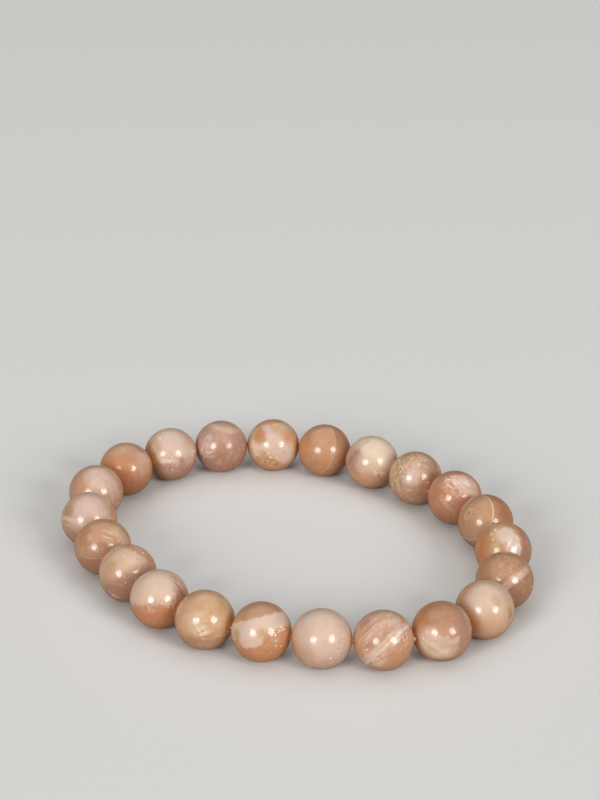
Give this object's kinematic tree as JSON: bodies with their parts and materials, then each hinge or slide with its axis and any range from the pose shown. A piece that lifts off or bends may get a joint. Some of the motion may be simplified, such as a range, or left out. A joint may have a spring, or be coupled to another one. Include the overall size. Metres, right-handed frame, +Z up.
{
  "type": "gemstone bracelet",
  "caption": "Stretch bracelet of equal round polished gemstone beads threaded on a closed elastic thread, lying flat as a slightly oval loop.",
  "frame": {"origin": "middle of the loop in plan, on the surface that the beads rest on", "axes": "+X and +Y in the plane of the loop, +X along its longer side of the box; +Z up through the wrist opening"},
  "size_m": [0.067, 0.0618, 0.008],
  "materials": {
    "cream_stone": "polished, milky translucent",
    "milky_pink_stone": "polished, milky translucent",
    "peach_stone": "polished, milky translucent",
    "caramel_stone": "polished, milky translucent",
    "mauve_stone": "polished, milky translucent",
    "elastic": "clear satin"
  },
  "bodies": {
    "root": {"bead_01": "cream_stone", "bead_02": "mauve_stone", "bead_03": "milky_pink_stone", "bead_04": "caramel_stone", "bead_05": "peach_stone", "bead_06": "milky_pink_stone", "bead_07": "caramel_stone", "bead_08": "cream_stone", "bead_09": "peach_stone", "bead_10": "caramel_stone", "bead_11": "peach_stone", "bead_12": "milky_pink_stone", "bead_13": "peach_stone", "bead_14": "caramel_stone", "bead_15": "cream_stone", "bead_16": "caramel_stone", "bead_17": "cream_stone", "bead_18": "caramel_stone", "bead_19": "peach_stone", "bead_20": "cream_stone", "bead_21": "cream_stone", "bead_22": "peach_stone", "elastic_thread": "elastic"}
  },
  "joints": []
}
